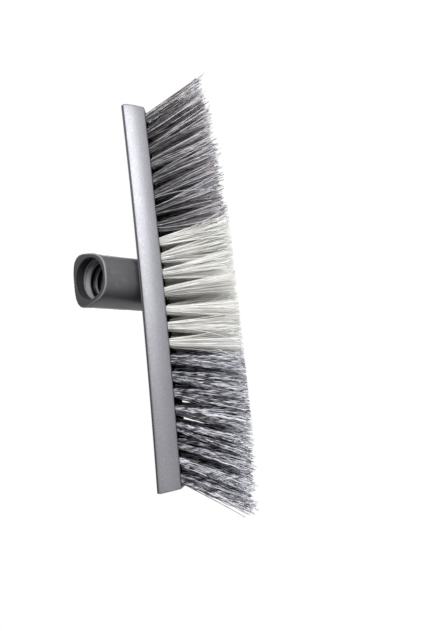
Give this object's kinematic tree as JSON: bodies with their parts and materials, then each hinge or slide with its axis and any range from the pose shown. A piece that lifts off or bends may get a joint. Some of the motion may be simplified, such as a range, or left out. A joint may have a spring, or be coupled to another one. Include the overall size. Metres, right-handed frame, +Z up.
{
  "type": "scrub brush head",
  "caption": "Arched scrub brush head with splayed grey and white tufts, a silver side band, a dark back plate and a leaning threaded handle socket.",
  "frame": {"origin": "on the floor under the middle of the brush head's outer box, socket included", "axes": "+X along the head, +Z up from the bristle tips to the back, the socket leans towards -Y"},
  "size_m": [0.2462, 0.0696, 0.0882],
  "materials": {
    "socket_grey": "satin moulded",
    "plate_grey": "satin moulded",
    "silver_paint": "silver paint",
    "block_black": "matte moulded",
    "tuft_grey": "fibre",
    "tuft_white": "fibre",
    "screw_steel": "plain zinc"
  },
  "bodies": {
    "root": {"handle_socket": "socket_grey", "back_plate": "plate_grey", "side_frame": "silver_paint", "bristle_block": "block_black", "bristles_grey_left": "tuft_grey", "bristles_white": "tuft_white", "bristles_grey_right": "tuft_grey", "plate_screw_1": "screw_steel", "plate_screw_2": "screw_steel", "plate_screw_3": "screw_steel", "plate_screw_4": "screw_steel", "plate_screw_5": "screw_steel", "plate_screw_6": "screw_steel"}
  },
  "joints": []
}
